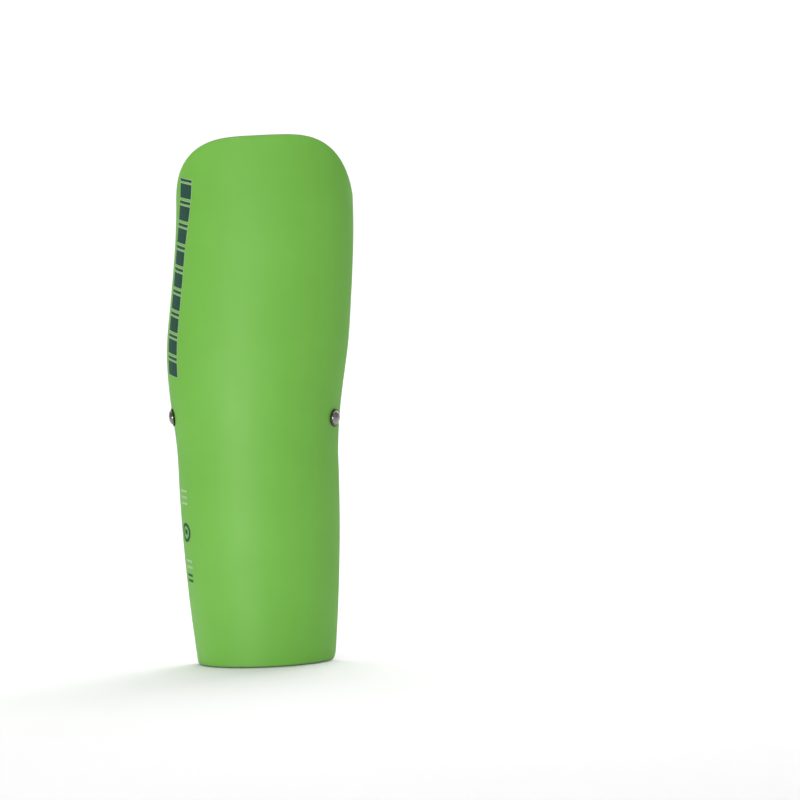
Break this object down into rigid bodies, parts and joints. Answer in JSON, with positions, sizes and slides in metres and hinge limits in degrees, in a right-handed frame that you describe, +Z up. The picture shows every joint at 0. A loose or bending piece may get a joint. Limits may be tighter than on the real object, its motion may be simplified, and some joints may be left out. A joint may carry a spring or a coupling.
{
  "type": "shin guard",
  "caption": "Full-length shin guard for ski racing: a satin green moulded shell with a padded liner and a hook-and-pile calf strap riveted to its side walls.",
  "frame": {"origin": "centre of the guard's footprint, at the height of the shell's flat bottom edge", "axes": "+Z up the shin from the ankle end to the knee end, -Y forwards out of the shin ridge, +X to the inner (medial) side of the right leg"},
  "size_m": [0.1432, 0.0968, 0.38],
  "materials": {
    "shell_plastic": "satin moulded, bright green",
    "hook_plastic": "moulded hooks, black",
    "brushed_backing": "brushed loop cloth, black",
    "foam": "closed-cell foam, dark grey",
    "lining_fabric": "soft knitted lining, dark grey",
    "binding_tape": "ribbed edge tape, black",
    "rivet_metal": "polished nickel plate",
    "webbing": "woven elastic webbing, black",
    "pile": "loop pile, black",
    "soft_plastic": "moulded soft grip, black"
  },
  "bodies": {
    "guard": {"shell": "shell_plastic", "shell_hook_discs": "hook_plastic", "liner_backing": "brushed_backing", "liner_core": "foam", "liner_lining": "lining_fabric", "liner_binding": "binding_tape", "rivet_caps": "rivet_metal", "rivet_posts": "rivet_metal", "rivet_washers": "rivet_metal", "lateral_strap_tab": "webbing", "medial_strap_tab": "webbing"},
    "strap_loop": {"lateral_lead": "webbing", "medial_lead": "webbing"},
    "long_strap_body": {"long_strap": "webbing"},
    "tail_body": {"strap_tail": "webbing", "tail_hook_patch": "hook_plastic", "pull_tab": "soft_plastic"},
    "short_strap_body": {"short_strap": "webbing", "short_strap_pile": "pile"}
  },
  "joints": [
    {"name": "strap_tilt", "type": "hinge", "parent": "guard", "child": "strap_loop", "pos_m": [-0.0069, -0.011, 0.1784], "axis": [0.9991, 0, -0.0419], "range_deg": [-10, 10]},
    {"name": "strap_open", "type": "hinge", "parent": "strap_loop", "child": "long_strap_body", "pos_m": [-0.0593, 0.02391, 0.1806], "axis": [0.0419, 0, 0.9991], "range_deg": [0, 120]},
    {"name": "tail_peel", "type": "hinge", "parent": "long_strap_body", "child": "tail_body", "pos_m": [-0.01335, 0.04818, 0.17867], "axis": [0.0419, 0, 0.9991], "range_deg": [0, 90]},
    {"name": "short_strap_fold", "type": "hinge", "parent": "strap_loop", "child": "short_strap_body", "pos_m": [0.04411, 0.02277, 0.17626], "axis": [0.0419, 0, 0.9991], "range_deg": [0, 40]}
  ]
}
